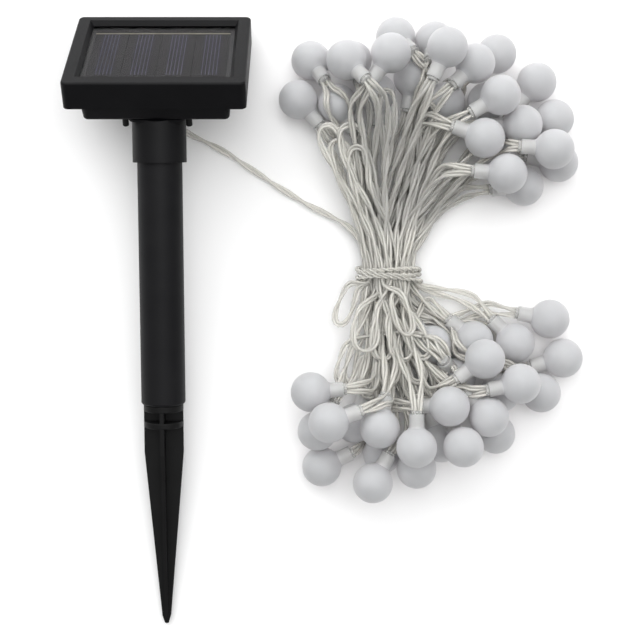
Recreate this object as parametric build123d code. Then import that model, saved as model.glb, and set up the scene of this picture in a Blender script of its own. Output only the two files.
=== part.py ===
from build123d import *
import os
from math import cos, pi, sin, tan, radians

# Solar string lights lying on a level surface: a solar head on a ground stake, and 50 frosted
# globe lamps on a clear twisted cable that is folded into a hank. Millimetres, +Z up.
# The stake lies along +Y with its head raised a little; the set rests on the head's rear edge
# and on the tip of the spike. The origin is under the middle of the stake and head.

# ---- how the stake lies ----
LIE_TILT = 8.0                 # the stake's axis rises this much towards the head, degrees
STAKE_Y, STAKE_Z = 0.7, 21.57  # where the stake's zero station lies
HEAD_TURN = -60.0              # turns the stake's frame into the solar head's frame, degrees
HEAD_U, HEAD_N = 104.5, 23.6   # front edge of the head's face: along the stake, and above its axis

# ---- solar head, in its own frame: X across, Y from front to rear, Z out of the face ----
HEAD_W, HEAD_D, HEAD_T = 79.0, 64.0, 12.5
HEAD_CORNER, HEAD_EDGE = 2.5, 0.9
WALL, TOP_WALL = 2.0, 2.2
WINDOW_W, WINDOW_D, WINDOW_FRONT = 68.0, 54.0, 6.0
WINDOW_BEVEL = 1.5             # each side of the window slopes in this much
PANEL_W, PANEL_D = 71.0, 56.5
PANEL_Y = WINDOW_FRONT + WINDOW_D / 2
COVER_T, CELL_T, BOARD_T, LINE_T = 0.75, 0.35, 1.2, 0.1
CELL_PITCH, CELL_W, CELL_D = 15.3, 15.0, 44.5
LINE_W, LINE_PITCH, LINE_FRONT, LINE_REAR = 0.22, 1.6, 13.4, 51.0
CELL_OVERHANG = 3.5            # how far a cell reaches past the front ends of its lines
BUS_Y, BUS_L, BUS_W = 52.1, 61.0, 0.8
PLATE_T = 2.0                  # the base's closing plate, inside the top cover's walls
PLATE_GAP = 0.1
GASKET_T, GASKET_GAP, GASKET_W = 0.8, 0.6, 3.2
BOSS_INNER, BOSS_HALF, BOSS_TOP = 33.95, 1.7, 4.8
TUB_T = 7.2                    # how far the base hangs below the cover
TUB_W, TUB_FRONT, TUB_REAR = 65.2, 2.3, 61.5
TUB_DRAFT, TUB_CORNER, TUB_EDGE = 7.0, 3.0, 1.3
FLOOR_T = 1.6
CAVITY_W, CAVITY_FRONT, CAVITY_REAR = 60.0, 4.4, 59.0
SCREW_X, SCREW_FRONT, SCREW_REAR = 35.65, 10.0, 54.0
SCREW_L, SCREW_HEAD_R, SCREW_HEAD_T, SCREW_R = 6.5, 1.5, 0.8, 0.7
HOLE_R, SINK_R, SINK_T = 0.95, 1.6, 0.9
BUTTON_X, BUTTON_Y, BUTTON_R = 13.9, 6.6, 1.4
BUTTON_OUT, BUTTON_TRAVEL = 4.5, 1.2
GROMMET = (4.0, 35.0)          # where the cable leaves the base's floor
GROMMET_R, GROMMET_OUT, GROMMET_HOLE = 3.2, 3.0, 2.4

# ---- electronics, in the head's frame ----
PCB_W, PCB_FRONT, PCB_REAR = 56.0, 5.0, 32.5
PCB_BOTTOM, PCB_TOP = -13.6, -12.4
POST_X, POST_FRONT, POST_REAR = 25.0, 9.0, 30.0
POST_R, POST_BORE, POST_BORE_END = 2.0, 0.75, -17.0
SWITCH_HALF, SWITCH_BOTTOM = 2.1, -16.1
PLUNGER_R, PLUNGER_TOP = 0.7, -15.6
FLANGE_R, FLANGE_T = 1.95, 0.6
CHIP_W, CHIP_FRONT, CHIP_REAR, CHIP_T = 8.0, 14.0, 19.0, 1.6
COMPONENT_X, COMPONENT_Y = 14.0, 16.0
INDUCTOR_R, INDUCTOR_H = 3.0, 4.0
CAPACITOR_R, CAPACITOR_H = 2.5, 5.8
BATTERY_Y, BATTERY_Z = 45.5, -12.0
BATTERY_R, BATTERY_L, BATTERY_TIP_R, BATTERY_TIP = 5.25, 43.5, 1.9, 0.9
HOLDER_L, HOLDER_W, HOLDER_TOP, HOLDER_WALL = 56.0, 13.2, -9.0, 1.0
CONTACT_T, CONTACT_HALF = 0.5, 4.0
CONTACT_Z = (-16.5, -9.5)
SPRING_R, SPRING_GROWTH, SPRING_PITCH, SPRING_WIRE = 3.2, 0.2, 0.68, 0.4
SPRING_RINGS = 7
PANEL_LEAD_X, PANEL_LEAD_Y, PANEL_LEAD_R = (18, 21), 24, 0.6
BATTERY_LEAD_X, BATTERY_LEAD_R, BATTERY_LEAD_BEND = (-9, 9), 0.5, 0.9
BATTERY_LEAD = ((34.8, -11.9), (31.0, -11.9), (29.6, -12.4))

# ---- stake ----
TUBE_R, TUBE_BORE = 10.0, 8.5
TUBE_BOTTOM, TUBE_TOP = -38.5, 86.5
SPIGOT_R, SHOULDER = 9.6, 70.5  # the tube is slimmer inside the socket, from its shoulder up
SOCKET_R, SOCKET_BOTTOM, SOCKET_STOP = 11.95, 70.6, 86.6
FLANGE_HALF, FLANGE_FRONT, FLANGE_REAR, FLANGE_OUT = 12.4, 3.2, 31.5, 1.0
BEYOND = 60.0                  # past the sleeve on every side
FIT = 0.05                     # radial running clearance of the tube and of the spike's plug
PLUG_L, PLUG_CHAMFER = 20.0, 1.0
TUBE_LIP = 1.2                 # rounding of the tube's lower edge
RING_R, FIN_T = 9.0, 1.8
RINGS = ((-41.6, 3.1), (-49.0, 2.7))
RING_EDGE = 0.5
TIP_HALF, TIP_L = 0.9, 0.5
FIN_KNEE, FIN_LOW, SPIKE_TIP = -61.0, -138.6, -142.5
FIN_HALF, FIN_LOW_HALF = 8.9, 1.95

# ---- cable and lamps ----
CABLE_D = 3.0
GLOBE_R, GLOBE_WALL = 9.0, 0.9
NECK_R, NECK_BORE, NECK_END = 3.4, 2.75, 14.9
HOLDER_R, HOLDER_START, HOLDER_END = 2.65, 10.0, 16.4
LED_R, LED_START = 1.5, 5.0
LAMPS_PER_GROUP = 5

# Each lamp: the middle of its globe, and the heading and rise of its neck in degrees.
UPPER_LAMPS = [
    (67, 120, 9, 300, 35), (61.2, 102, 9, 310, 0), (83, 117, 27, 310, 30), (86, 120, 9, 285, 40),
    (103, 120, 27, 235, 0), (106, 131, 9, 310, 40), (124, 129, 9, 255, 40), (127.5, 121, 35.5, 245, 0),
    (141, 116, 23.6, 225, 15), (152.5, 123, 9, 220, 0), (171, 110, 9, 230, 0), (152, 101, 28, 210, 0),
    (179, 93, 9, 205, -10), (163, 89, 19, 180, -10), (145, 82, 27, 160, 0), (176, 77, 27, 175, 0),
    (181, 73, 9, 170, 0), (155, 66, 27, 175, 0), (165, 62, 9, 185, 0), (129, 101, 9, 240, 0),
    (114, 112, 9, 260, 0), (79.2, 100.2, 9, 300, 0), (148, 101, 9, 225, 0), (152, 78, 9, 205, 0),
    (97, 105, 9, 275, 0)]
LOWER_LAMPS = [
    (177, 1, 9, 170, 0), (183, -17, 9, 195, -5), (161, -10, 9, 135, 0), (145, -17, 27, 215, -5),
    (161, -28, 27, 190, 5), (173, -33, 9, 140, 20), (123, -11, 9, 130, 0), (129, -38, 30, 180, -15),
    (147, -43, 25, 130, -10), (135, -56, 31, 115, -50), (114, -56, 34, 90, 0), (115, -67, 18, 95, 0),
    (98, -48, 27, 80, 0), (100, -61, 9, 85, 0), (95, -73, 23, 60, -5), (75, -45, 33, 20, 0),
    (70, -50, 16, 60, 0), (67, -32, 22, 5, 0), (72, -67, 9, 25, 0), (87, -47, 9, 70, 0),
    (127, -56, 9, 110, 0), (154, -33, 9, 125, 20), (134, -26, 9, 130, 45), (142, -9, 9, 140, 0),
    (152, -52, 9, 130, 0)]

# The lead's route on the surface, after its straight run out of the grommet.
EXIT_RUN = 10.5
LEAD_ROUTE = [
    (6.2, 89.8, 5.2), (11.2, 86.2, 2.6), (18.3, 83.3, 1.9), (28.6, 77.9, 1.7),
    (44.4, 67.2, 1.6), (62.0, 55.9, 1.6), (76.3, 48.6, 2.4), (84.0, 44.6, 4.6)]

# The hank's outer shape: at each station along Y, its middle, half width and half height.
HANK_STATIONS = [
    (92.0, 105.0, 25.0, 4.0), (80.0, 106.0, 29.0, 6.0), (60.0, 106.0, 25.5, 7.5),
    (42.0, 104.0, 18.5, 8.0), (27.0, 102.5, 12.9, 8.2), (17.0, 103.0, 13.4, 8.2),
    (2.0, 101.0, 19.0, 7.0), (-14.0, 99.0, 21.5, 5.5), (-29.0, 99.0, 22.0, 3.6)]
LAMP_CLEARANCE = 0.5           # the hank's shape keeps this far off each lamp
TIE_Y, TIE_WIDTH = 21.5, 9.0
TIE_MIDDLE, TIE_HALF_W, TIE_HALF_H = (102.8, 8.6), 16.0, 8.4

os.makedirs("parts", exist_ok=True)
UNMOVED = Location((0, 0, 0))
STAKE = Location((0, STAKE_Y, STAKE_Z), (LIE_TILT, 0, 0))
HEAD = STAKE * Location((0, HEAD_U, HEAD_N), (HEAD_TURN, 0, 0))
TUB_BOTTOM = -HEAD_T - TUB_T
FLOOR_TOP = TUB_BOTTOM + FLOOR_T
CASE_SPOTS = [(sx * SCREW_X, y) for sx in (-1, 1) for y in (SCREW_FRONT, SCREW_REAR)]
POST_SPOTS = [(sx * POST_X, y) for sx in (-1, 1) for y in (POST_FRONT, POST_REAR)]


def save(node, solids, place):
    """Places the node's solids in the part's frame and writes them."""
    solids = solids if isinstance(solids, list) else [solids]
    moved = [place * s for solid in solids for s in solid.solids()]
    shape = moved[0] if len(moved) == 1 else Compound(children=moved)
    shape.label = node
    export_step(shape, f"parts/{node}.step")
    return shape


def block(x, y, z, corner=0.0):
    """A box between the given limits, with its upright corners rounded."""
    outline = RectangleRounded(x[1] - x[0], y[1] - y[0], corner) if corner else Rectangle(
        x[1] - x[0], y[1] - y[0])
    middle = Location(((x[0] + x[1]) / 2, (y[0] + y[1]) / 2, z[0]))
    return extrude(middle * outline, amount=z[1] - z[0])


def rod(x, y, z, radius):
    """An upright cylinder from z[0] to z[1]."""
    return Location((x, y, (z[0] + z[1]) / 2)) * Cylinder(radius, z[1] - z[0])


def along_stake(start, end, radius):
    """A cylinder on the stake's axis, between two stations."""
    return Location((0, (start + end) / 2, 0), (90, 0, 0)) * Cylinder(radius, end - start)


def largest(shape):
    return max(shape.solids(), key=lambda solid: solid.volume)


# ---- solar head ----
def top_cover():
    shell = block((-HEAD_W / 2, HEAD_W / 2), (0, HEAD_D), (-HEAD_T, 0), HEAD_CORNER)
    shell = fillet(shell.edges().group_by(Axis.Z)[-1], HEAD_EDGE)
    inner_x, inner_y = HEAD_W / 2 - WALL, HEAD_D - WALL
    shell -= block((-inner_x, inner_x), (WALL, inner_y), (-HEAD_T, -TOP_WALL), 1.0)
    outer = Location((0, PANEL_Y, 0)) * Rectangle(WINDOW_W, WINDOW_D)
    lower = Location((0, PANEL_Y, -TOP_WALL)) * Rectangle(
        WINDOW_W - 2 * WINDOW_BEVEL, WINDOW_D - 2 * WINDOW_BEVEL)
    shell -= loft([lower.face(), outer.face()])
    boss_z = (-HEAD_T + PLATE_T + GASKET_T, -BOSS_TOP)
    for x, y in CASE_SPOTS:
        sx = 1 if x > 0 else -1
        boss = block(sorted((sx * BOSS_INNER, sx * (inner_x + 0.5))),
                     (y - BOSS_HALF, y + BOSS_HALF), boss_z)
        shell += boss - rod(x, y, (-HEAD_T, -HEAD_T + SCREW_L + 0.5), SCREW_R)
    return shell


def solar_panel():
    cover_z = (-TOP_WALL - COVER_T, -TOP_WALL)
    line_z = (cover_z[0] - LINE_T, cover_z[0])
    cell_z = (line_z[0] - CELL_T, line_z[0])
    board_z = (cell_z[0] - BOARD_T, cell_z[0])
    x, y = (-PANEL_W / 2, PANEL_W / 2), (PANEL_Y - PANEL_D / 2, PANEL_Y + PANEL_D / 2)
    save("panel_cover", block(x, y, cover_z, 1.0), HEAD)
    save("panel_board", block(x, y, board_z, 1.0), HEAD)
    middles = [(i - 1.5) * CELL_PITCH for i in range(4)]
    cell_front = LINE_FRONT - CELL_OVERHANG
    cell_y = (cell_front, cell_front + CELL_D)
    save("solar_cells", [block((m - CELL_W / 2, m + CELL_W / 2), cell_y, cell_z)
                         for m in middles], HEAD)
    lines = [m + (j - 2) * LINE_PITCH for m in middles for j in range(5)]
    save("cell_fingers", [block((v - LINE_W / 2, v + LINE_W / 2), (LINE_FRONT, LINE_REAR), line_z)
                          for v in lines], HEAD)
    save("cell_busbar", block((-BUS_L / 2, BUS_L / 2), (BUS_Y - BUS_W / 2, BUS_Y + BUS_W / 2),
                              line_z), HEAD)
    return board_z[0]


def base_case():
    inner_x, inner_y = HEAD_W / 2 - WALL - PLATE_GAP, HEAD_D - WALL - PLATE_GAP
    plate_z = (-HEAD_T, -HEAD_T + PLATE_T)
    case = block((-inner_x, inner_x), (WALL + PLATE_GAP, inner_y), plate_z, 1.0)
    outline = Location((0, (TUB_FRONT + TUB_REAR) / 2, -HEAD_T)) * RectangleRounded(
        TUB_W, TUB_REAR - TUB_FRONT, TUB_CORNER)
    tub = extrude(outline, amount=-TUB_T, taper=TUB_DRAFT)
    tub = fillet(tub.edges().group_by(Axis.Z)[0], TUB_EDGE)
    case += tub
    case -= block((-CAVITY_W / 2, CAVITY_W / 2), (CAVITY_FRONT, CAVITY_REAR),
                  (FLOOR_TOP, plate_z[1]), 1.5)
    for x, y in POST_SPOTS:
        case += rod(x, y, (FLOOR_TOP, PCB_BOTTOM), POST_R)
        case -= rod(x, y, (POST_BORE_END, PCB_BOTTOM), POST_BORE)
    for x, y in CASE_SPOTS:
        case -= rod(x, y, plate_z, HOLE_R)
        case -= rod(x, y, (plate_z[0], plate_z[0] + SINK_T), SINK_R)
    for sx in (-1, 1):
        case -= rod(sx * BUTTON_X, BUTTON_Y, (TUB_BOTTOM, FLOOR_TOP), BUTTON_R + FIT)
    return case - rod(*GROMMET, (TUB_BOTTOM, FLOOR_TOP), GROMMET_HOLE)


def case_gasket():
    """Flat seal between the plate's rim and the top cover's screw bosses."""
    z = (-HEAD_T + PLATE_T, -HEAD_T + PLATE_T + GASKET_T)
    outer_x = HEAD_W / 2 - WALL - GASKET_GAP
    front, rear = WALL + GASKET_GAP, HEAD_D - WALL - GASKET_GAP
    ring = block((-outer_x, outer_x), (front, rear), z, 1.0)
    hole_x = outer_x - GASKET_W
    ring -= block((-hole_x, hole_x), (front + 2.0, rear - 2.0), z, 1.0)
    for x, y in CASE_SPOTS:
        ring -= rod(x, y, z, HOLE_R)
    return ring


def stake_socket():
    """The sleeve that takes the stake's tube, cut off square to the base, with its flange."""
    to_head = Location((0, HEAD_U, HEAD_N), (HEAD_TURN, 0, 0)).inverse()
    sleeve = to_head * along_stake(SOCKET_BOTTOM, HEAD_U + 10, SOCKET_R)
    sleeve -= block((-BEYOND, BEYOND), (-BEYOND, BEYOND), (TUB_BOTTOM, BEYOND))
    sleeve += block((-FLANGE_HALF, FLANGE_HALF), (FLANGE_FRONT, FLANGE_REAR),
                    (TUB_BOTTOM - FLANGE_OUT, TUB_BOTTOM), 3.0)
    return sleeve - to_head * along_stake(SOCKET_BOTTOM - 1, SOCKET_STOP, SPIGOT_R + FIT)


def case_screw(x, y):
    """A cross-headed screw with its head below, driven upwards."""
    head, shank = -HEAD_T + PLATE_GAP, -HEAD_T + PLATE_GAP + SCREW_HEAD_T
    screw = rod(x, y, (head, shank), SCREW_HEAD_R)
    screw += rod(x, y, (shank, head + SCREW_L), SCREW_R)
    slot_l, slot_w, slot_z = 1.1, 0.2, (head, head + 0.4)
    screw -= block((x - slot_l, x + slot_l), (y - slot_w, y + slot_w), slot_z)
    return screw - block((x - slot_w, x + slot_w), (y - slot_l, y + slot_l), slot_z)


def board_screw(x, y):
    return rod(x, y, (PCB_TOP, PCB_TOP + 0.9), SINK_R) + rod(x, y, (-16.5, PCB_TOP), POST_BORE)


def push_button():
    """Plunger with a retaining flange inside the floor and a stem that enters the switch."""
    button = rod(0, 0, (TUB_BOTTOM - BUTTON_OUT, FLOOR_TOP), BUTTON_R)
    button = fillet(button.edges().group_by(Axis.Z)[0], 0.4)
    button += rod(0, 0, (FLOOR_TOP, FLOOR_TOP + FLANGE_T), FLANGE_R)
    return button + rod(0, 0, (FLOOR_TOP + FLANGE_T, PLUNGER_TOP), PLUNGER_R)


def circuit():
    """The board on its posts, and what is soldered to it."""
    board_z = (PCB_BOTTOM, PCB_TOP)
    board = block((-PCB_W / 2, PCB_W / 2), (PCB_FRONT, PCB_REAR), board_z, 1.0)
    for x, y in POST_SPOTS:
        board -= rod(x, y, board_z, HOLE_R)
    save("circuit_board", board - rod(*GROMMET, board_z, GROMMET_R + 0.8), HEAD)
    save("board_screws", [board_screw(x, y) for x, y in POST_SPOTS], HEAD)
    save("controller_chip", block((-CHIP_W / 2, CHIP_W / 2), (CHIP_FRONT, CHIP_REAR),
                                  (PCB_TOP, PCB_TOP + CHIP_T)), HEAD)
    save("boost_inductor", rod(-COMPONENT_X, COMPONENT_Y, (PCB_TOP, PCB_TOP + INDUCTOR_H),
                               INDUCTOR_R), HEAD)
    can = rod(COMPONENT_X, COMPONENT_Y, (PCB_TOP, PCB_TOP + CAPACITOR_H), CAPACITOR_R)
    save("storage_capacitor", fillet(can.edges().group_by(Axis.Z)[-1], 0.4), HEAD)
    for name, x in (("power_switch", -BUTTON_X), ("mode_switch", BUTTON_X)):
        switch = block((x - SWITCH_HALF, x + SWITCH_HALF),
                       (BUTTON_Y - SWITCH_HALF, BUTTON_Y + SWITCH_HALF),
                       (SWITCH_BOTTOM, PCB_BOTTOM))
        well = rod(x, BUTTON_Y, (SWITCH_BOTTOM, SWITCH_BOTTOM + 1.9), PLUNGER_R + 0.1)
        save(name, switch - well, HEAD)


def battery():
    """The cell in its holder, with a plate at one end and a coiled spring at the other."""
    half_l, half_w = HOLDER_L / 2, HOLDER_W / 2
    holder = block((-half_l, half_l), (BATTERY_Y - half_w, BATTERY_Y + half_w),
                   (FLOOR_TOP, HOLDER_TOP), 1.0)
    inner_l, inner_w = half_l - HOLDER_WALL, half_w - HOLDER_WALL
    holder -= block((-inner_l, inner_l), (BATTERY_Y - inner_w, BATTERY_Y + inner_w),
                    (FLOOR_TOP + 0.8, HOLDER_TOP))
    save("battery_holder", holder, HEAD)
    on_side = Location((0, BATTERY_Y, BATTERY_Z), (0, 90, 0))
    tip = Location((0, 0, BATTERY_L / 2 + BATTERY_TIP / 2)) * Cylinder(BATTERY_TIP_R, BATTERY_TIP)
    save("battery_cell", on_side * (Cylinder(BATTERY_R, BATTERY_L) + tip), HEAD)
    plate_y = (BATTERY_Y - CONTACT_HALF, BATTERY_Y + CONTACT_HALF)
    save("positive_contact", block((inner_l - CONTACT_T, inner_l), plate_y, CONTACT_Z), HEAD)
    spring = block((-inner_l, -inner_l + CONTACT_T), plate_y, CONTACT_Z)
    for i in range(SPRING_RINGS):
        x = -BATTERY_L / 2 - SPRING_WIRE - SPRING_PITCH * i
        place = Location((x, BATTERY_Y, BATTERY_Z), (0, 90, 0))
        spring += place * Torus(SPRING_R + SPRING_GROWTH * i, SPRING_WIRE)
    save("negative_spring", spring, HEAD)


def hook_up_wires(board_bottom):
    save("panel_leads", [rod(x, PANEL_LEAD_Y, (PCB_TOP, board_bottom), PANEL_LEAD_R)
                         for x in PANEL_LEAD_X], HEAD)
    save("battery_leads", [wire_run([(x, y, z) for y, z in BATTERY_LEAD])
                           for x in BATTERY_LEAD_X], HEAD)


def wire_run(points):
    """A short insulated wire through the points, with its corners rounded."""
    path = FilletPolyline(*points, radius=BATTERY_LEAD_BEND)
    return sweep(Plane(origin=path @ 0, z_dir=path % 0) * Circle(BATTERY_LEAD_R), path=path)


def cable_grommet():
    """Moulded gland, cast on the cable's end: closed above, flush mouth below."""
    x, y = GROMMET
    gland = rod(x, y, (TUB_BOTTOM, FLOOR_TOP), GROMMET_HOLE)
    gland += rod(x, y, (FLOOR_TOP, FLOOR_TOP + 1.4), GROMMET_R)
    skirt = Location((x, y, TUB_BOTTOM - GROMMET_OUT / 2)) * Cone(2.2, GROMMET_R, GROMMET_OUT)
    return gland + skirt


# ---- stake ----
def stake_tube():
    tube = along_stake(TUBE_BOTTOM, SHOULDER, TUBE_R)
    tube = fillet(tube.edges().group_by(Axis.Y)[0], TUBE_LIP)
    tube += along_stake(SHOULDER, TUBE_TOP, SPIGOT_R)
    return tube - along_stake(TUBE_BOTTOM, TUBE_TOP, TUBE_BORE)


def ground_spike():
    """Two rings and four tapering fins, with a round plug that fits the tube's bore."""
    side = [(TIP_HALF, SPIKE_TIP + TIP_L), (FIN_LOW_HALF, FIN_LOW), (FIN_HALF, FIN_KNEE),
            (FIN_HALF, TUBE_BOTTOM)]
    other_side = [(-x, y) for x, y in reversed(side)]
    fin = Polyline((0, SPIKE_TIP), *side, *other_side, close=True)
    flat = extrude(make_face(fin), amount=FIN_T / 2, both=True)
    spike = flat + Rot(0, 90, 0) * flat
    for bottom, height in RINGS:
        ring = along_stake(bottom, bottom + height, RING_R)
        spike += fillet(ring.edges().filter_by(GeomType.CIRCLE), RING_EDGE)
    plug = along_stake(TUBE_BOTTOM, TUBE_BOTTOM + PLUG_L, TUBE_BORE - FIT)
    plug = chamfer(plug.edges().group_by(Axis.Y)[-1], PLUG_CHAMFER)
    return spike + plug


# ---- lamps ----
def lamp_place(x, y, z, heading, rise):
    """A frame at the globe's middle whose Z runs out along the neck."""
    h, r = radians(heading), radians(rise)
    out = Vector(cos(h) * cos(r), sin(h) * cos(r), sin(r))
    return Plane(origin=(x, y, z), z_dir=out).location


def globe():
    shell = Sphere(GLOBE_R) + rod(0, 0, (7.5, NECK_END), NECK_R)
    shell -= Sphere(GLOBE_R - GLOBE_WALL)
    return shell - rod(0, 0, (6.0, NECK_END), NECK_BORE)


def lamp_envelope():
    grown = Sphere(GLOBE_R + LAMP_CLEARANCE)
    return grown + rod(0, 0, (6, HOLDER_END + LAMP_CLEARANCE), NECK_R + LAMP_CLEARANCE)


def lamps():
    holder = rod(0, 0, (HOLDER_START, HOLDER_END), HOLDER_R)
    led = fillet(rod(0, 0, (LED_START, HOLDER_START), LED_R).edges().group_by(Axis.Z)[0], 1.2)
    for side, table in (("upper", UPPER_LAMPS), ("lower", LOWER_LAMPS)):
        for g in range(0, len(table), LAMPS_PER_GROUP):
            places = [lamp_place(*spot) for spot in table[g:g + LAMPS_PER_GROUP]]
            number = g // LAMPS_PER_GROUP + 1
            save(f"globes_{side}_{number}", [p * globe() for p in places], UNMOVED)
            save(f"holders_{side}_{number}", [p * holder for p in places], UNMOVED)
        save(f"leds_{side}", [lamp_place(*spot) * led for spot in table], UNMOVED)


# ---- cable ----
def lead_cable():
    """The lead from the grommet to the hank: straight runs joined by arcs as large as fit."""
    x, y = GROMMET
    below = TUB_BOTTOM - GROMMET_OUT
    mouth, straight = [(HEAD * Location((x, y, z))).position for z in (below, below - EXIT_RUN)]
    route = [mouth, straight] + [Vector(*p) for p in LEAD_ROUTE]
    runs = [b - a for a, b in zip(route, route[1:])]
    radii = []
    for a, b in zip(runs, runs[1:]):
        turn = a.get_angle(b)
        radii.append(0.45 * min(a.length, b.length) / tan(radians(turn) / 2))
    print("lead starts", [[round(v, 2) for v in p] for p in (mouth, straight)],
          "runs", [round(r.length, 1) for r in runs])
    print("lead radii", [round(r, 1) for r in radii])
    path = FilletPolyline(*route, radius=radii)
    tube = sweep(Plane(origin=path @ 0, z_dir=path % 0) * Circle(CABLE_D / 2), path=path)
    section = pi * CABLE_D ** 2 / 4
    print("lead length", round(path.length, 1), "volume / section x length",
          round(tube.volume / (section * path.length), 4))
    return tube


def light_hank():
    """Outer shape of the folded cable, lying on the surface and pinched by the tie."""
    sections = []
    for y, x, half_w, half_h in HANK_STATIONS:
        plane = Plane(origin=(x, y, half_h + 0.2), x_dir=(1, 0, 0), z_dir=(0, 1, 0))
        sections.append((plane * Ellipse(half_w, half_h)).face())
    hank = loft(sections)
    for spot in UPPER_LAMPS + LOWER_LAMPS:
        hank -= lamp_place(*spot) * lamp_envelope()
    return largest(hank)


def hank_tie():
    """Band of clear wire turns round the hank's waist, before the hank is cut from it."""
    x, z = TIE_MIDDLE
    plane = Plane(origin=(x, TIE_Y - TIE_WIDTH / 2, z), x_dir=(1, 0, 0), z_dir=(0, 1, 0))
    return extrude(plane * Ellipse(TIE_HALF_W, TIE_HALF_H), amount=TIE_WIDTH)


def main():
    save("top_cover", top_cover(), HEAD)
    board_bottom = solar_panel()
    save("base_case", base_case(), HEAD)
    save("case_gasket", case_gasket(), HEAD)
    save("case_screws", [case_screw(x, y) for x, y in CASE_SPOTS], HEAD)
    save("stake_socket", stake_socket(), HEAD)
    save("power_button", Location((-BUTTON_X, BUTTON_Y, 0)) * push_button(), HEAD)
    save("mode_button", Location((BUTTON_X, BUTTON_Y, 0)) * push_button(), HEAD)
    circuit()
    battery()
    hook_up_wires(board_bottom)
    save("cable_grommet", cable_grommet(), HEAD)
    save("stake_tube", stake_tube(), STAKE)
    save("ground_spike", ground_spike(), STAKE)
    lamps()
    hank = light_hank()
    save("hank_tie", largest(hank_tie() - hank), UNMOVED)
    save("light_hank", hank, UNMOVED)
    save("lead_cable", lead_cable() - hank, UNMOVED)


main()
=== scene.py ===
import math
import random

import bmesh
import bpy
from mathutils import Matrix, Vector


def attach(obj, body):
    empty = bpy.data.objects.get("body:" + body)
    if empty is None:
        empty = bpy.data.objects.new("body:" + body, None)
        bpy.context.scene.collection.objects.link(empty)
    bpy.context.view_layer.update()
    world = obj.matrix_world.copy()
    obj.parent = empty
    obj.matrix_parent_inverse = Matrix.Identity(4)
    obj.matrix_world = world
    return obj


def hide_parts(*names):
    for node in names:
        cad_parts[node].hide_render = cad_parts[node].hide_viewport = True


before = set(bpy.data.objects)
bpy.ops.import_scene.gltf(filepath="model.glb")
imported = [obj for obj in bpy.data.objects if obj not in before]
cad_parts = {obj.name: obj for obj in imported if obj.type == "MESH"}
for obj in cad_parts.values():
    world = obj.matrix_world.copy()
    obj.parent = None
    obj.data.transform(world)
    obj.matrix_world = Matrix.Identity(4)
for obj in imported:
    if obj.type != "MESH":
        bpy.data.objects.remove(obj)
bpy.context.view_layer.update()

# Solar string lights lying on a white table, seen from straight above. The CAD nodes of the solar
# head and stake keep their shapes and get materials. The cable, its tie and the lamps are modelled
# here in detail, and replace the CAD's simple ones.
MM = 0.001
ROOT = "head_and_lights"
random.seed(7)

# ---- camera: over the table, a little to the right of the stake, looking straight down ----
CAMERA_PLACE = (0.0712, 0.0005, 0.6535)
camera = bpy.data.objects.new("camera", bpy.data.cameras.new("camera"))
camera.data.sensor_width, camera.data.lens = 36.0, 78.75
camera.data.clip_start, camera.data.clip_end = 0.01, 10.0
camera.location = CAMERA_PLACE
bpy.context.collection.objects.link(camera)
bpy.context.scene.camera = camera
bpy.context.scene.view_settings.view_transform = "Standard"


# ---- the cable's route, in millimetres ----
# From the gland in the head, down to the table and across to the hank.
LEAD_ROUTE = [
    (4.0, 104.56, 17.93), (4.0, 96.28, 11.46), (6.2, 89.8, 5.2), (11.2, 86.2, 2.6),
    (18.3, 83.3, 1.9), (28.6, 77.9, 1.7), (44.4, 67.2, 1.6), (62.0, 55.9, 1.6),
    (76.3, 48.6, 2.4), (84.0, 44.6, 4.6)]

# Each lamp: the middle of its globe, and the heading and rise of its neck in degrees.
UPPER_LAMPS = [
    (67, 120, 9, 300, 35), (61.2, 102, 9, 310, 0), (83, 117, 27, 310, 30), (86, 120, 9, 285, 40),
    (103, 120, 27, 235, 0), (106, 131, 9, 310, 40), (124, 129, 9, 255, 40), (127.5, 121, 35.5, 245, 0),
    (141, 116, 23.6, 225, 15), (152.5, 123, 9, 220, 0), (171, 110, 9, 230, 0), (152, 101, 28, 210, 0),
    (179, 93, 9, 205, -10), (163, 89, 19, 180, -10), (145, 82, 27, 160, 0), (176, 77, 27, 175, 0),
    (181, 73, 9, 170, 0), (155, 66, 27, 175, 0), (165, 62, 9, 185, 0), (129, 101, 9, 240, 0),
    (114, 112, 9, 260, 0), (79.2, 100.2, 9, 300, 0), (148, 101, 9, 225, 0), (152, 78, 9, 205, 0),
    (97, 105, 9, 275, 0)]
LOWER_LAMPS = [
    (177, 1, 9, 170, 0), (183, -17, 9, 195, -5), (161, -10, 9, 135, 0), (145, -17, 27, 215, -5),
    (161, -28, 27, 190, 5), (173, -33, 9, 140, 20), (123, -11, 9, 130, 0), (129, -38, 30, 180, -15),
    (147, -43, 25, 130, -10), (135, -56, 31, 115, -50), (114, -56, 34, 90, 0), (115, -67, 18, 95, 0),
    (98, -48, 27, 80, 0), (100, -61, 9, 85, 0), (95, -73, 23, 60, -5), (75, -45, 33, 20, 0),
    (70, -50, 16, 60, 0), (67, -32, 22, 5, 0), (72, -67, 9, 25, 0), (87, -47, 9, 70, 0),
    (127, -56, 9, 110, 0), (154, -33, 9, 125, 20), (134, -26, 9, 130, 45), (142, -9, 9, 140, 0),
    (152, -52, 9, 130, 0)]
LAMPS_PER_GROUP = 5
# Cable on its way to the topmost lamp of the lower end, and back, in wide arches.
FAR_LEGS = {(177, 1): (
    [(113, 3, 10), (120, 1, 7), (128, 0.5, 4), (138, 4, 2.5)],
    [(139, 1, 2), (128, -3, 4), (116, -3, 8)])}
END_LAMP = (127, -56, 9, 110, 0)  # the cable ends in this lamp
NECK_REACH, SAG = 17.0, 0.03   # a leg is stiff for this far from its globe, then sags
LED_TURN, LAST_END = 10.8, 11.0  # from a globe's middle to the turn at its LED, or the end
FLOOR_Z = 1.8                  # the lowest that the line may lie
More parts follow.
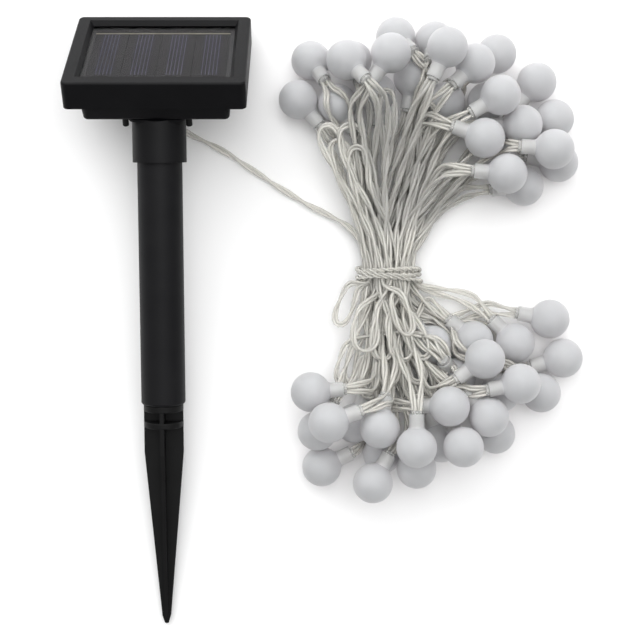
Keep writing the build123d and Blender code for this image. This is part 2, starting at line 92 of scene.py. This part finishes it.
# How far the line keeps from the middle of a globe: at the route's points, at a point added in a
# long stretch between them, and along the whole smoothed line.
NECK_KEEP_OFF, GLOBE_KEEP_OFF, LINE_KEEP_OFF = 10.8, 12.5, 10.5
LONG_RUN = 7.0                 # a stretch is long past this
PUSHES = 4                     # rounds of pushing, since one globe may push into the next

# Folds of the lamp-less part: place of the tip, half width, and heading in degrees.
LOWER_FOLDS = [
    (80.0, -1.0, 9.0, 3.4, 250), (91.2, -12.9, 19.0, 5.4, 266), (99.8, -16.8, 18.0, 4.6, 272),
    (111.0, -5.5, 20.0, 3.6, 287), (109.5, -17.2, 18.5, 4.8, 284), (118.8, -15.8, 18.0, 4.4, 296),
    (86.0, -29.0, 12.0, 4.5, 258)]
UPPER_FOLDS = [
    (73.5, 88.5, 17.0, 4.6, 112), (84.0, 88.5, 18.0, 5.4, 102), (79.0, 82.0, 15.0, 4.4, 106),
    (121.0, 98.5, 17.0, 3.6, 84), (87.5, 78.5, 18.0, 4.2, 98), (101.5, 104.0, 19.0, 3.4, 92)]
# Slack of lamps that sit close to the waist is put away in folds at the lower end.
SLACK_FOLDS = [
    (81.5, -28.0, 10.0, 4.0, 255), (93.0, -34.0, 13.0, 4.5, 262), (100.0, -35.5, 15.0, 4.2, 268),
    (106.5, -36.0, 13.0, 4.5, 274), (114.5, -34.5, 15.0, 4.2, 282), (120.5, -34.0, 14.0, 4.5, 290),
    (117.0, -27.0, 16.0, 4.2, 294), (103.0, -28.5, 17.0, 4.2, 272), (129.0, -25.5, 14.0, 4.2, 308)]

# The hank's outline at stations: place along Y, its middle along X, half width and half height.
HANK_STATIONS = [
    (92.0, 105.0, 25.0, 4.0), (80.0, 106.0, 29.0, 6.0), (60.0, 106.0, 25.5, 7.5),
    (42.0, 104.0, 18.5, 8.0), (27.0, 102.5, 12.9, 8.2), (17.0, 103.0, 13.4, 8.2),
    (2.0, 101.0, 19.0, 7.0), (-14.0, 99.0, 21.5, 5.5), (-29.0, 99.0, 22.0, 3.6)]
WAIST_Y, WAIST_HALF = 21.5, 4.5
WAIST_MIDDLE = Vector((103, 17, 8))
NEAR_WAIST = 52                # lamps nearer than this have slack to put away
# The lead's way in at the hank's side, its last point there, and its place in the waist.
LEAD_ENTRY = [Vector((89.5, 38.0, 7.0)), Vector((91.5, 29.0, 8.5))]
LEAD_IN, LEAD_SLOT = Vector((92.0, 26.5, 8.5)), (-0.75, 0.2)
FAN_X, FAN_Y = 105, 20         # the lamps are strung in turn round this point
RUN = 21.0                     # usual distance between points of one pass
STRAND_INSET, PASS_LIFT = 1.7, 0.2  # passes keep this far inside the waist and off the table
NECK_SPREAD, FAN_SPREAD = 0.8, 0.85  # share of the hank's half height that passes take up
FAN_CURVE, LOOSE = 1.35, 1.4   # how late a pass spreads into its fan, and how far it strays


def hank_at(y):
    """The hank's middle, half width and half height at this place along Y."""
    if y >= HANK_STATIONS[0][0]:
        return HANK_STATIONS[0][1:]
    for upper, lower in zip(HANK_STATIONS, HANK_STATIONS[1:]):
        if y >= lower[0]:
            share = (y - lower[0]) / (upper[0] - lower[0])
            return [b + (a - b) * share for a, b in zip(upper[1:], lower[1:])]
    return HANK_STATIONS[-1][1:]


def lamp_axes(x, y, z, heading, rise):
    """The globe's middle, the neck's direction and the level direction across it."""
    h, r = math.radians(heading), math.radians(rise)
    out = Vector((math.cos(h) * math.cos(r), math.sin(h) * math.cos(r), math.sin(r)))
    return Vector((x, y, z)), out, Vector((-math.sin(h), math.cos(h), 0))


def lamp_turn(spot, last=False):
    """Route points in through a lamp's neck, round its LED and out again."""
    middle, out, side = lamp_axes(*spot)
    leg = [(30, 2.8), (22.5, 1.7), (17.5, 1.2), (13.0, 1.1)]   # distance, half the gap

    def leg_point(distance, aside):
        """A point on a leg, which sags once it is past the neck."""
        p = middle + out * distance + side * aside
        past = max(0.0, distance - NECK_REACH)
        p.z = max(FLOOR_Z, p.z - past * max(0.0, out.z) - SAG * past ** 2)
        return p

    inward = [leg_point(d, -w) for d, w in leg]
    if last:
        return inward + [middle + out * LAST_END]
    outward = [leg_point(d, w) for d, w in reversed(leg)]
    before, after = FAR_LEGS.get(spot[:2], ([], []))
    turn = [middle + out * LED_TURN]
    return [Vector(p) for p in before] + inward + turn + outward + [Vector(p) for p in after]


def fold(x, y, z, half, heading):
    """Route points round the tip of a fold that points along heading."""
    h = math.radians(heading)
    out = Vector((math.cos(h), math.sin(h), 0))
    side = Vector((-math.sin(h), math.cos(h), 0))
    tip = Vector((x, y, z))
    turned = random.choice((-1, 1))
    way_in = [(-19, 0.75), (-11, 1.0), (-4, 1.05), (0.6, 0.55)]
    shape = way_in + [(d, -w) for d, w in reversed(way_in)]
    lift = random.uniform(-0.5, 0.5)
    return [tip + out * d + side * (w * half * turned) + Vector((0, 0, w * lift))
            for d, w in shape]


def waist_slots(count):
    """Evenly packed places across the waist, as fractions of its half sizes."""
    golden = math.pi * (3 - math.sqrt(5))
    spots = []
    for i in range(count):
        r = math.sqrt((i + 0.5) / count)
        spots.append((r * math.cos(i * golden), r * math.sin(i * golden)))
    return spots


def through_hank(start, end, slot):
    """Route points of one pass through the waist, between two points of the fans."""
    return half_pass(start, slot)[::-1] + half_pass(end, slot)


def half_pass(tip, slot):
    """Route points from the waist's edge towards this point of a fan, without the point."""
    sx, sz = slot
    waist_edge = WAIST_Y + math.copysign(WAIST_HALF, tip.y - WAIST_Y)
    middle, half_w, half_h = hank_at(waist_edge)
    neck = Vector((middle + sx * (half_w - STRAND_INSET), waist_edge,
                   half_h * (1 + NECK_SPREAD * sz) + PASS_LIFT))
    steps = steps_to(tip, neck)
    points = []
    for i in range(steps):
        f = i / steps
        p = neck.lerp(tip, f)
        p.x = neck.x + (tip.x - neck.x) * f ** FAN_CURVE
        height = hank_at(p.y)[2]
        p.z = (height * (1 + FAN_SPREAD * sz)) * (1 - f ** 2) + tip.z * f ** 2
        loose = LOOSE * math.sin(math.pi * f)
        p += Vector((random.uniform(-1, 1), 0, random.uniform(-0.5, 0.5))) * loose
        p.z = max(p.z, FLOOR_Z)
        points.append(p)
    return points


def steps_to(tip, start):
    """How many route points lead from here to this point of a fan."""
    return max(2, round((tip - start).length / RUN))


def strung(lamps, facing):
    """The lamps of one end, roughly in turn about the waist."""
    return sorted(lamps, key=lambda s: math.atan2(s[0] - FAN_X, facing * (s[1] - FAN_Y))
                  + random.uniform(-0.3, 0.3))


def stops_of_cable():
    """The route's stops in order, and which of them are led over the top of the waist.

    The stops are the lead, the folds of the lamp-less part, then the lamps by turns at either end.
    """
    stops = [[Vector(p) for p in LEAD_ROUTE]]
    for i, spot in enumerate(LOWER_FOLDS):
        stops.append(fold(*spot))
        if i < len(UPPER_FOLDS):
            stops.append(fold(*UPPER_FOLDS[i]))
    upper, lower = strung(UPPER_LAMPS, 1), strung(LOWER_LAMPS, -1)
    lower.append(lower.pop(lower.index(END_LAMP)))
    on_top = set(range(2 * len(UPPER_FOLDS) + 1))
    slack = list(SLACK_FOLDS)
    for high, low in zip(upper, lower):
        stops.append(lamp_turn(high))
        at_end = low == END_LAMP
        turn = lamp_turn(low, last=at_end)
        near_waist = (turn[0] - WAIST_MIDDLE).length < NEAR_WAIST
        if near_waist and slack and not at_end:
            slack.sort(key=lambda s: abs(s[0] - turn[0].x))
            bent = fold(*slack.pop(0))
            on_top.add(len(stops) - 1)
            turn = bent + [bent[-1].lerp(turn[0], 0.5) + Vector((0, 4, 1))] + turn
        stops.append(turn)
    return stops, on_top


def slots_of_passes(passes, on_top):
    """Each pass's place in the waist: those led over the top share its upper places."""
    keys = [a[-1].x + b[0].x + random.uniform(-25, 25) for a, b in passes]
    by_height = sorted(waist_slots(len(passes)), key=lambda slot: -slot[1])
    above = [i for i in range(len(passes)) if i in on_top]
    below = [i for i in range(len(passes)) if i not in on_top]
    chosen = {}
    for group, slots in ((above, by_height[:len(above)]), (below, by_height[len(above):])):
        for slot, i in zip(sorted(slots), sorted(group, key=lambda i: keys[i])):
            chosen[i] = slot
    return chosen


def route_of_cable():
    """The whole line, through all its stops and the waist between them, in metres."""
    stops, on_top = stops_of_cable()
    passes = list(zip(stops, stops[1:]))
    slots = slots_of_passes(passes, on_top)
    line = list(stops[0])
    for i, (a, b) in enumerate(passes):
        if i == 0:
            # The lead comes in at the hank's side, so it only has the second half of a pass.
            kept = steps_to(b[0], LEAD_IN) + 1
            line += LEAD_ENTRY + through_hank(LEAD_IN, b[0], LEAD_SLOT)[-kept:]
        else:
            line += through_hank(a[-1], b[0], slots[i])
        line += b
    return [p * MM for p in round_lamps(line)]


def pushed_out(p, keep_off):
    """The point, moved out of any globe it is in, and back above the surface."""
    p = p.copy()
    for _ in range(PUSHES):
        for spot in UPPER_LAMPS + LOWER_LAMPS:
            away = p - Vector(spot[:3])
            if away.length < keep_off:
                p = Vector(spot[:3]) + away.normalized() * keep_off
        p.z = max(p.z, FLOOR_Z)
    return p


def round_lamps(points):
    """The same route, with the cable led round the globes that it would pass through."""
    led = [points[0]]
    for p in points[1:]:
        last = led[-1]
        if (p - last).length > LONG_RUN:
            middle = last.lerp(p, 0.5)
            clear = pushed_out(middle, GLOBE_KEEP_OFF)
            if (clear - middle).length > 0.1:
                led.append(clear)
        led.append(pushed_out(p, NECK_KEEP_OFF))
    return led


def smooth_line(name, points, per_span=8):
    """One NURBS spline through the route, and the points along it."""
    curve = bpy.data.curves.new(name, "CURVE")
    curve.dimensions = "3D"
    spline = curve.splines.new("NURBS")
    spline.points.add(len(points) - 1)
    for place, p in zip(spline.points, points):
        place.co = (*p, 1.0)
    spline.order_u = 3
    spline.use_endpoint_u = True
    curve.resolution_u = per_span
    holder = bpy.data.objects.new(name, curve)
    read = bpy.data.meshes.new_from_object(holder)
    along = [v.co.copy() for v in read.vertices]
    bpy.data.objects.remove(holder)
    bpy.data.meshes.remove(read)
    bpy.data.curves.remove(curve)
    return along


def evenly(points, gap):
    """The same line with a point every gap."""
    out, spare = [points[0]], 0.0
    for a, b in zip(points, points[1:]):
        length = (b - a).length
        while length > 0 and spare + length >= gap:
            share = (gap - spare) / length
            a = a.lerp(b, share)
            out.append(a.copy())
            length, spare = (b - a).length, 0.0
        spare += length
    return out


def frames_along(points):
    """(point, direction, normal) with as little turning about the line as possible."""
    result, normal = [], Vector((0, 0, 1))
    for i, p in enumerate(points):
        ahead = (points[min(i + 1, len(points) - 1)] - points[max(i - 1, 0)]).normalized()
        normal = normal - ahead * normal.dot(ahead)
        if normal.length < 1e-6:
            normal = ahead.orthogonal()
        normal.normalize()
        result.append((p, ahead, normal.copy()))
    return result


def pair(frames, radius, sides, offset, pitch, gap):
    """The points and faces of two round strands that wind about the frames, opposite each other."""
    verts, faces = [], []
    for phase in (0.0, math.pi):
        strand(verts, faces, frames, radius, sides, offset, pitch, phase, gap)
    return verts, faces


def strand(verts, faces, frames, radius, sides, offset, pitch, phase, gap):
    """Adds a round strand that winds about the frames at this offset."""
    first = len(verts)
    for i, (p, ahead, normal) in enumerate(frames):
        across = ahead.cross(normal)
        turn = phase + math.tau * i * gap / pitch
        out = normal * math.cos(turn) + across * math.sin(turn)
        centre, other = p + out * offset, ahead.cross(out)
        for k in range(sides):
            a = math.tau * k / sides
            verts.append(centre + (out * math.cos(a) + other * math.sin(a)) * radius)
    rows = len(frames)
    for i in range(rows - 1):
        for k in range(sides):
            a, b = first + i * sides + k, first + i * sides + (k + 1) % sides
            faces.append((a, b, b + sides, a + sides))
    faces.append(tuple(first + k for k in reversed(range(sides))))
    faces.append(tuple(first + (rows - 1) * sides + k for k in range(sides)))


def add_mesh(name, verts, faces, material, slot, replaced=()):
    """A smooth piece that rides on the head's body, in place of the CAD nodes named."""
    mesh = bpy.data.meshes.new(name)
    mesh.from_pydata([tuple(v) for v in verts], [], faces)
    mesh.polygons.foreach_set("use_smooth", [True] * len(mesh.polygons))
    mesh.materials.append(material)
    piece = bpy.data.objects.new(name, mesh)
    bpy.context.collection.objects.link(piece)
    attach(piece, ROOT)
    if replaced:
        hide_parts(*replaced)
    return piece


# ---- materials ----
class Nodes:
    """A material under construction: its Principled shader and helpers for patterns."""

    def __init__(self, name, **values):
        self.material = bpy.data.materials.new(name)
        self.material.use_nodes = True
        self.tree = self.material.node_tree
        self.shader = self.tree.nodes["Principled BSDF"]
        self.place = self.add("ShaderNodeTexCoord").outputs["Object"]
        for socket, value in values.items():
            self.shader.inputs[socket.replace("_", " ")].default_value = value

    def add(self, kind, **settings):
        node = self.tree.nodes.new(kind)
        for key, value in settings.items():
            setattr(node, key, value)
        return node

    def link(self, a, b):
        self.tree.links.new(a, b)

    def noise(self, scale, detail=3.0, rough=0.5, stretch=None):
        node = self.add("ShaderNodeTexNoise")
        node.inputs["Scale"].default_value = scale
        node.inputs["Detail"].default_value = detail
        node.inputs["Roughness"].default_value = rough
        source = self.place
        if stretch:
            mapping = self.add("ShaderNodeMapping")
            mapping.inputs["Scale"].default_value = stretch
            self.link(self.place, mapping.inputs["Vector"])
            source = mapping.outputs["Vector"]
        self.link(source, node.inputs["Vector"])
        return node.outputs["Fac"]

    def ramp(self, value, stops, socket=None):
        node = self.add("ShaderNodeValToRGB")
        elements = node.color_ramp.elements
        while len(elements) < len(stops):
            elements.new(0.5)
        for element, (at, colour) in zip(elements, stops):
            element.position = at
            element.color = (*colour, 1.0) if len(colour) == 3 else colour
        self.link(value, node.inputs["Fac"])
        if socket:
            self.link(node.outputs["Color"], self.shader.inputs[socket])
        return node.outputs["Color"]

    def span(self, value, low, high, socket=None):
        """Maps 0..1 to low..high, into the named socket."""
        node = self.add("ShaderNodeMapRange")
        node.inputs["To Min"].default_value = low
        node.inputs["To Max"].default_value = high
        self.link(value, node.inputs["Value"])
        if socket:
            self.link(node.outputs["Result"], self.shader.inputs[socket])
        return node.outputs["Result"]

    def bump(self, height, strength, distance):
        node = self.add("ShaderNodeBump")
        node.inputs["Strength"].default_value = strength
        node.inputs["Distance"].default_value = distance
        self.link(height, node.inputs["Height"])
        self.link(node.outputs["Normal"], self.shader.inputs["Normal"])


def moulded_black(name, dark, light, grain=2600.0, rough=(0.42, 0.55)):
    m = Nodes(name, Specular_IOR_Level=0.155)
    m.ramp(m.noise(60.0, 4.0), [(0.3, dark), (0.7, light)], "Base Color")
    m.span(m.noise(grain * 0.4, 3.0), *rough, "Roughness")
    m.bump(m.noise(grain, 2.0, 0.6), 0.22, 0.00006)
    return m.material


def clear_cable():
    m = Nodes("clear_cable", IOR=1.47, Transmission_Weight=0.66)
    m.ramp(m.noise(35.0, 3.0), [(0.3, (0.95, 0.938, 0.885)), (0.7, (0.995, 0.985, 0.94))],
           "Base Color")
    m.span(m.noise(400.0, 2.0), 0.07, 0.16, "Roughness")
    m.bump(m.noise(900.0, 2.0), 0.12, 0.0001)
    return m.material


def tinned_copper():
    """Bright, with dark stretches along it."""
    m = Nodes("tinned_copper", Metallic=0.8)
    m.ramp(m.noise(14.0, 2.0), [(0.42, (0.035, 0.035, 0.04)), (0.50, (0.74, 0.72, 0.68))],
           "Base Color")
    m.span(m.noise(2000.0, 2.0), 0.22, 0.42, "Roughness")
    m.bump(m.noise(4200.0, 1.0), 0.4, 0.00005)
    return m.material


def frosted_white():
    """Light goes some way into the globe's wall and comes out soft."""
    m = Nodes("frosted_white", Subsurface_Weight=1.0, Subsurface_Scale=0.008, IOR=1.45)
    m.shader.inputs["Subsurface Radius"].default_value = (1.0, 0.95, 0.92)
    m.ramp(m.noise(70.0, 3.0), [(0.3, (0.70, 0.674, 0.69)), (0.7, (0.745, 0.72, 0.732))],
           "Base Color")
    m.span(m.noise(700.0, 3.0), 0.42, 0.55, "Roughness")
    m.bump(m.noise(1500.0, 2.0, 0.6), 0.12, 0.00008)
    return m.material


def frosted_neck():
    """The globe's neck, thin enough to let the plug and wires show through."""
    m = Nodes("frosted_neck", IOR=1.35, Transmission_Weight=0.72)
    m.ramp(m.noise(90.0, 3.0), [(0.3, (0.90, 0.905, 0.90)), (0.7, (0.96, 0.96, 0.955))],
           "Base Color")
    m.span(m.noise(700.0, 3.0), 0.28, 0.42, "Roughness")
    m.bump(m.noise(1500.0, 2.0, 0.6), 0.12, 0.00008)
    return m.material


def clear_plug():
    m = Nodes("clear_plug", IOR=1.46, Transmission_Weight=0.7)
    m.ramp(m.noise(90.0), [(0.3, (0.88, 0.89, 0.88)), (0.7, (0.95, 0.95, 0.94))], "Base Color")
    m.span(m.noise(600.0), 0.18, 0.34, "Roughness")
    m.bump(m.noise(1100.0), 0.2, 0.0001)
    return m.material


def led_epoxy():
    m = Nodes("led_epoxy", IOR=1.5)
    m.ramp(m.noise(500.0), [(0.3, (0.90, 0.84, 0.55)), (0.7, (0.95, 0.91, 0.70))], "Base Color")
    m.span(m.noise(900.0), 0.15, 0.3, "Roughness")
    return m.material


def silicon():
    m = Nodes("silicon", IOR=1.3, Specular_IOR_Level=0.1)
    m.ramp(m.noise(180.0, 5.0, 0.65, (1.0, 0.4, 0.4)),
           [(0.25, (0.028, 0.027, 0.029)), (0.75, (0.038, 0.0365, 0.037))], "Base Color")
    m.span(m.noise(300.0), 0.5, 0.62, "Roughness")
    m.bump(m.noise(800.0, 4.0), 0.1, 0.00005)
    return m.material


def printed_line(name, dark, light):
    m = Nodes(name)
    m.ramp(m.noise(900.0, 3.0), [(0.3, dark), (0.7, light)], "Base Color")
    m.span(m.noise(1500.0), 0.35, 0.55, "Roughness")
    m.bump(m.noise(3000.0), 0.2, 0.00004)
    return m.material


def clear_resin():
    m = Nodes("clear_resin", IOR=1.06, Transmission_Weight=1.0, Specular_IOR_Level=0.3)
    m.ramp(m.noise(40.0, 2.0), [(0.3, (0.93, 0.93, 0.94)), (0.7, (0.97, 0.97, 0.97))],
           "Base Color")
    m.span(m.noise(250.0, 3.0), 0.02, 0.05, "Roughness")
    m.bump(m.noise(120.0, 3.0), 0.03, 0.0001)
    return m.material


def plain(name, dark, light, rough, metallic=0.0, grain=1200.0):
    m = Nodes(name, Metallic=metallic)
    m.ramp(m.noise(grain * 0.3), [(0.3, dark), (0.7, light)], "Base Color")
    m.span(m.noise(grain), *rough, "Roughness")
    m.bump(m.noise(grain * 2), 0.15, 0.00005)
    return m.material


def dress(nodes, material):
    """Gives CAD nodes this material."""
    for name in nodes:
        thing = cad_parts[name]
        thing.data.materials.clear()
        thing.data.materials.append(material)


# ---- the cable: two clear strands wound about its line, each with a thin core ----
# Step along the line, turn of the strands, strand radius and core radius, in metres.
GAP, PITCH, STRAND_R, CORE_R = 0.0016, 0.036, 0.00075, 0.00024
OFFSET = STRAND_R * 0.99       # of each strand from the cable's line, so that the two just meet
STRAND_SIDES, CORE_SIDES = 8, 5
route = route_of_cable()
line = evenly(smooth_line("cable_line", route), GAP)
line = evenly([pushed_out(p / MM, LINE_KEEP_OFF) * MM for p in line], GAP)
wound = frames_along(line)
CLEAR = clear_cable()
cable = add_mesh("string_cable", *pair(wound, STRAND_R, STRAND_SIDES, OFFSET, PITCH, GAP), CLEAR,
                 "clear_cable", ("lead_cable", "light_hank"))
cores = add_mesh("cable_cores", *pair(wound[::2], CORE_R, CORE_SIDES, OFFSET, PITCH, 2 * GAP),
                 tinned_copper(), "plated_steel")


# ---- tie: a clear twisted wire wound round the waist ----
TIE_X, TIE_Z, TIE_HALF_W, TIE_HALF_H = 102.8, 9.0, 14.4, 9.2
TIE_Y, TIE_BREADTH, TIE_TURNS, TIE_STEPS = 18.2, 6.4, 3.2, 28
TIE_FLOOR = 1.2                # the tie's line stays above this
TIE_GAP, TIE_PITCH, TIE_R, TIE_OFFSET = 0.0009, 0.007, 0.0006, 0.00058


def tie_points():
    """An uneven helix round the waist, flat where it lies on the table."""
    points = []
    for i in range(int(TIE_TURNS * TIE_STEPS) + 1):
        a = math.tau * i / TIE_STEPS + math.radians(200)
        y = TIE_Y + TIE_BREADTH * i / (TIE_TURNS * TIE_STEPS) + 0.7 * math.sin(a * 1.7)
        swell = 1 + 0.03 * math.sin(a * 2.3)
        points.append(Vector((TIE_X + TIE_HALF_W * swell * math.cos(a), y,
                              max(TIE_FLOOR, TIE_Z + TIE_HALF_H * swell * math.sin(a)))))
    return [p * MM for p in points]


tie_line = frames_along(evenly(smooth_line("tie_line", tie_points()), TIE_GAP))
tie_pair = pair(tie_line, TIE_R, STRAND_SIDES, TIE_OFFSET, TIE_PITCH, TIE_GAP)
tie = add_mesh("hank_tie_wire", *tie_pair, CLEAR, "clear_cable", ("hank_tie",))


# ---- lamps: turned shapes about the neck's axis, in millimetres (radius, height) ----
GLOBE_R, GLOBE_BORE_R, NECK_BORE_R = 9.0, 8.1, 2.8
NECK_FOOT = 7.6                # the height at which the wall leaves the sphere for the neck
LED_R, LED_DOME = 1.5, 6.5     # and the height of the dome's middle
GLOBE_SIDES, PLUG_SIDES, LED_SIDES = 48, 24, 16


def arc(radius, parts, steps):
    """Points of a circle from its lowest point upwards, at these steps of half a turn's parts."""
    return [(radius * math.sin(math.pi * t / parts), -radius * math.cos(math.pi * t / parts))
            for t in steps]


def globe_profile():
    """Outer wall up to the neck's rim, then the inside back down."""
    outer = [p for p in arc(GLOBE_R, 30, range(26)) if p[1] < NECK_FOOT]
    neck = [(4.45, 7.82), (3.95, 8.25), (3.60, 8.75), (3.45, 9.4), (3.40, 10.5), (3.40, 12.6),
            (3.40, 14.45), (3.32, 14.75), (3.12, 14.9), (2.9, 14.88), (2.76, 14.6), (2.75, 10.0),
            (2.75, 7.9)]
    inner = [p for p in arc(GLOBE_BORE_R, 24, range(21, -1, -1)) if p[0] > NECK_BORE_R or p[1] < 0]
    return outer + neck + inner


def plug_profile():
    """A stopper that fills the neck's bore, with a groove round its outer end."""
    return [(0, 10.0), (2.3, 10.0), (2.62, 10.35), (2.62, 14.9), (2.45, 15.05), (2.45, 15.25),
            (2.62, 15.4), (2.62, 16.05), (2.35, 16.35), (1.2, 16.4), (0, 16.1)]


def led_profile():
    """A domed LED with a rim at its foot, inside the globe."""
    dome = [(r, LED_DOME + h) for r, h in arc(LED_R, 12, range(7))]
    return dome + [(LED_R, 9.0), (1.75, 9.05), (1.75, 9.8), (1.55, 9.95), (0, 9.95)]


def turned(verts, faces, profile, spot, sides):
    """Adds the profile, turned about the lamp's axis, to the mesh lists."""
    middle, out, side = lamp_axes(*spot)
    up = out.cross(side)
    first, rows = len(verts), len(profile)
    for r, h in profile:
        for k in range(sides):
            a = math.tau * k / sides
            verts.append((middle + out * h + (side * math.cos(a) + up * math.sin(a)) * r) * MM)
    for i in range(rows - 1):
        for k in range(sides):
            a, b = first + i * sides + k, first + i * sides + (k + 1) % sides
            faces.append((a, a + sides, b + sides, b))


def lamp_pieces(name, profile, spots, sides, material, slot, replaced):
    verts, faces = [], []
    for spot in spots:
        turned(verts, faces, profile, spot, sides)
    piece = add_mesh(name, verts, faces, material, slot, replaced)
    merge(piece)
    return piece


def merge(piece):
    """Joins the points that lie on a turned shape's axis, and drops empty faces."""
    work = bmesh.new()
    work.from_mesh(piece.data)
    bmesh.ops.remove_doubles(work, verts=work.verts, dist=1e-6)
    bmesh.ops.dissolve_degenerate(work, edges=work.edges, dist=1e-7)
    bmesh.ops.recalc_face_normals(work, faces=work.faces)
    work.to_mesh(piece.data)
    work.free()


FROST, NECK, PLUG, EPOXY = frosted_white(), frosted_neck(), clear_plug(), led_epoxy()
NECK_START = 9.6               # past this distance from its middle a globe is its clearer neck
for side, lamps in (("upper", UPPER_LAMPS), ("lower", LOWER_LAMPS)):
    for g in range(0, len(lamps), LAMPS_PER_GROUP):
        number = g // LAMPS_PER_GROUP + 1
        group = lamps[g:g + LAMPS_PER_GROUP]
        globes = lamp_pieces(f"lamp_globes_{side}_{number}", globe_profile(), group,
                             GLOBE_SIDES, FROST, "frosted_plastic", (f"globes_{side}_{number}",))
        globes.data.materials.append(NECK)
        for face in globes.data.polygons:
            centre = face.center / MM
            if all((centre - Vector(spot[:3])).length > NECK_START for spot in group):
                face.material_index = 1
    nodes = [f"holders_{side}_{n + 1}" for n in range(len(lamps) // LAMPS_PER_GROUP)]
    lamp_pieces(f"lamp_plugs_{side}", plug_profile(), lamps, PLUG_SIDES, PLUG,
                                "clear_plastic", nodes)
    lamp_pieces(f"lamp_leds_{side}", led_profile(), lamps, LED_SIDES, EPOXY,
                                "led_epoxy", (f"leds_{side}",))

# ---- solar head and stake: CAD shapes, finished ----
BLACK = moulded_black("moulded_black", (0.0022, 0.0022, 0.0028), (0.0038, 0.0038, 0.0046))
dress(["top_cover", "base_case", "stake_socket"], BLACK)
dress(["stake_tube"], moulded_black("tube_black", (0.0040, 0.0040, 0.0050), (0.0065, 0.0065, 0.0075),
                                    2000.0, (0.46, 0.58)))
dress(["ground_spike"], moulded_black("spike_black", (0.0030, 0.0030, 0.0031), (0.0050, 0.0050, 0.0052),
                                      2400.0, (0.42, 0.58)))
dress(["power_button", "mode_button"],
      moulded_black("button_black", (0.006, 0.006, 0.006), (0.010, 0.010, 0.010), 3200.0))
dress(["case_gasket", "cable_grommet"],
      moulded_black("soft_rubber", (0.012, 0.012, 0.012), (0.02, 0.02, 0.02), 1800.0, (0.6, 0.8)))
dress(["panel_cover"], clear_resin())
dress(["solar_cells"], silicon())
dress(["cell_fingers"], printed_line("blue_fingers", (0.085, 0.080, 0.16), (0.115, 0.11, 0.20)))
dress(["cell_busbar"], printed_line("tan_busbar", (0.30, 0.28, 0.21), (0.40, 0.375, 0.28)))
dress(["panel_board"], plain("panel_laminate", (0.010, 0.0096, 0.0096), (0.014, 0.0135, 0.0135),
                             (0.45, 0.6)))
dress(["circuit_board"], plain("circuit_laminate", (0.02, 0.10, 0.05), (0.03, 0.14, 0.07),
                               (0.35, 0.5)))
dress(["case_screws", "board_screws", "positive_contact", "negative_spring"],
      plain("plated_steel", (0.45, 0.45, 0.44), (0.62, 0.62, 0.60), (0.25, 0.4), 1.0, 2500.0))
dress(["controller_chip", "boost_inductor", "power_switch", "mode_switch", "battery_holder"],
      plain("component_black", (0.02, 0.02, 0.02), (0.035, 0.035, 0.035), (0.4, 0.6)))
dress(["storage_capacitor", "battery_cell"],
      plain("bare_can", (0.55, 0.56, 0.56), (0.68, 0.69, 0.69), (0.25, 0.35), 1.0))
dress(["panel_leads", "battery_leads"],
      plain("hookup_wire", (0.40, 0.03, 0.02), (0.52, 0.05, 0.03), (0.35, 0.5)))


# ---- floor and light ----
TABLE_REACH, TABLE_DROP = 40.0, 0.0002
SKY_BRIGHT, SKY_DIM, SKY_FACING = 1.15, 0.16, (0.0, 0.85, 0.53)
# Each soft box: its name, place, size and power in watts. Both face the middle of the object.
SOFT_BOXES = (("key", (-0.35, 0.9, 0.9), 1.0, 5.8), ("fill", (0.3, 0.2, 1.5), 1.2, 9.0))
AIM = Vector((0.05, 0.0, 0.0))


def studio():
    table = bpy.data.meshes.new("table_top")
    corners = [(TABLE_REACH * x, TABLE_REACH * y, 0) for x, y in ((-1, -1), (1, -1), (1, 1), (-1, 1))]
    table.from_pydata(corners, [], [(0, 1, 2, 3)])
    floor = bpy.data.objects.new("table_top", table)
    floor.location.z = -TABLE_DROP
    m = Nodes("white_table", Roughness=0.9, Specular_IOR_Level=0.0)
    m.ramp(m.noise(8.0), [(0.3, (0.93, 0.93, 0.93)), (0.7, (0.95, 0.95, 0.95))], "Base Color")
    table.materials.append(m.material)
    bpy.context.collection.objects.link(floor)
    sky(SKY_BRIGHT, SKY_DIM)
    for name, place, size, power in SOFT_BOXES:
        lamp = bpy.data.lights.new(name, "AREA")
        lamp.size, lamp.energy = size, power
        soft_box = bpy.data.objects.new(name, lamp)
        soft_box.location = place
        soft_box.rotation_euler = (AIM - Vector(place)).to_track_quat("-Z", "Y").to_euler()
        bpy.context.collection.objects.link(soft_box)


def sky(bright, dim):
    """A white surround, bright towards +Y and overhead, and dim towards -Y."""
    world = bpy.data.worlds.new("studio")
    world.use_nodes = True
    nodes, links = world.node_tree.nodes, world.node_tree.links
    nodes["Background"].inputs["Color"].default_value = (1.0, 1.0, 1.0, 1.0)
    direction = nodes.new("ShaderNodeTexCoord").outputs["Generated"]
    facing = nodes.new("ShaderNodeVectorMath")
    facing.operation = "DOT_PRODUCT"
    facing.inputs[1].default_value = SKY_FACING
    level = nodes.new("ShaderNodeMapRange")
    level.inputs["From Min"].default_value = -0.55
    level.inputs["From Max"].default_value = 0.75
    level.inputs["To Min"].default_value = dim
    level.inputs["To Max"].default_value = bright
    links.new(direction, facing.inputs[0])
    links.new(facing.outputs["Value"], level.inputs["Value"])
    links.new(level.outputs["Result"], nodes["Background"].inputs["Strength"])
    bpy.context.scene.world = world


studio()
